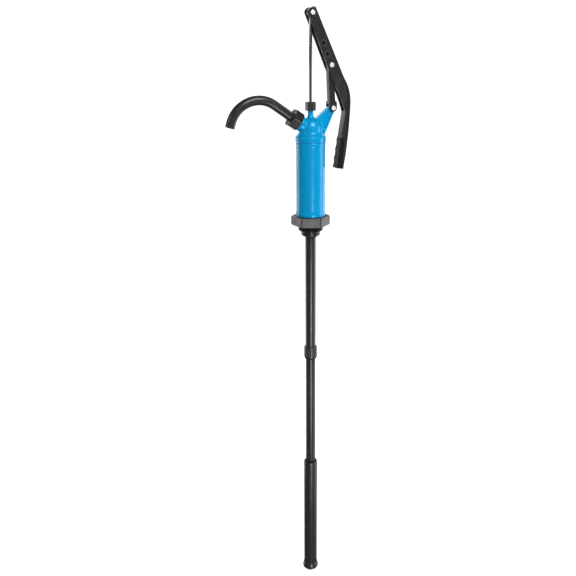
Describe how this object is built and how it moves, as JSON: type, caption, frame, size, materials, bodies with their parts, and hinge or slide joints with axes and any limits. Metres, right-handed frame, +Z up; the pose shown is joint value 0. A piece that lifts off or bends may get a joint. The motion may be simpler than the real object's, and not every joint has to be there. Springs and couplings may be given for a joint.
{
  "type": "drum barrel pump",
  "caption": "Hand-lever piston pump for drums: blue barrel with curved spout, side lever and link, bung adapter and telescopic suction tube.",
  "frame": {"origin": "on the pump axis, where the bung thread meets the underside of its hexagon", "axes": "+Z up along the pump axis; -X towards the spout; +X towards the handle; Y across the lever"},
  "size_m": [0.3033, 0.0924, 1.4808],
  "materials": {
    "blue_plastic": "satin moulded polypropylene, bright blue",
    "grey_plastic": "moulded, dark grey with fine grain",
    "black_plastic": "moulded, black with fine grain",
    "grip_rubber": "ribbed soft grip",
    "polished_steel": "ground and polished",
    "zinc_steel": "bright zinc plated",
    "seal_rubber": "matt",
    "white_polymer": "turned, natural white"
  },
  "bodies": {
    "pump_body": {"barrel_tube": "blue_plastic", "pump_head": "blue_plastic", "head_seal_ring": "seal_rubber", "barrel_seal_ring": "seal_rubber", "rod_guide_bush": "white_polymer", "gland_packing": "white_polymer", "gland_nut": "black_plastic", "bung_adapter": "grey_plastic", "bung_gasket": "seal_rubber", "suction_valve_seat": "white_polymer", "suction_valve_cage": "white_polymer", "suction_socket": "black_plastic", "upper_suction_tube": "black_plastic", "tube_coupling": "black_plastic", "coupling_seals": "seal_rubber", "lower_suction_tube": "black_plastic", "slide_seal_carrier": "black_plastic", "slide_seal_ring": "seal_rubber", "spout_seal_ring": "seal_rubber", "union_nut": "black_plastic", "bracket_bolt": "zinc_steel", "bracket_nut": "zinc_steel"},
    "piston_assembly": {"piston_rod": "polished_steel", "rod_end_eye": "black_plastic", "piston_body": "white_polymer", "piston_seal": "seal_rubber", "piston_valve_stop": "white_polymer", "piston_nut": "zinc_steel"},
    "piston_valve": {"piston_valve_disc": "seal_rubber"},
    "suction_valve": {"suction_valve_disc": "seal_rubber"},
    "handle": {"lever_arm": "black_plastic", "grip_pad": "grip_rubber", "lever_pivot_bolt": "zinc_steel", "lever_pivot_nut": "zinc_steel", "link_pivot_screws": "zinc_steel"},
    "link": {"link": "black_plastic", "link_pivot_pin": "polished_steel"},
    "spout": {"spout": "black_plastic"},
    "foot": {"foot_tube": "black_plastic", "foot_guide_bush": "black_plastic", "foot_strainer": "black_plastic"}
  },
  "joints": [
    {"name": "piston_slide", "type": "slide", "parent": "pump_body", "child": "piston_assembly", "axis": [0, 0, -1], "range_m": [0, 0.1]},
    {"name": "handle_swing", "type": "hinge", "parent": "piston_assembly", "child": "handle", "pos_m": [0, 0, 0.487], "axis": [0, -1, 0], "range_deg": [0, 49.3]},
    {"name": "link_swing", "type": "hinge", "parent": "pump_body", "child": "link", "pos_m": [0.053, 0, 0.2763], "axis": [0, -1, 0], "range_deg": [-44.8, 0]},
    {"name": "spout_swivel", "type": "hinge", "parent": "pump_body", "child": "spout", "pos_m": [-0.0428, 0, 0.25423], "axis": [-0.8231, 0, 0.5678], "range_deg": [-90, 90]},
    {"name": "foot_tube_slide", "type": "slide", "parent": "pump_body", "child": "foot", "axis": [0, 0, 1], "range_m": [0, 0.28]},
    {"name": "suction_valve_lift", "type": "slide", "parent": "pump_body", "child": "suction_valve", "axis": [0, 0, 1], "range_m": [0, 0.0045]},
    {"name": "piston_valve_lift", "type": "slide", "parent": "piston_assembly", "child": "piston_valve", "axis": [0, 0, 1], "range_m": [0, 0.004]}
  ],
  "couplings": [
    {"joint": "piston_slide", "follows": "handle_swing", "m_per_rad": 0.116},
    {"joint": "link_swing", "follows": "handle_swing", "ratio": -0.90599}
  ]
}
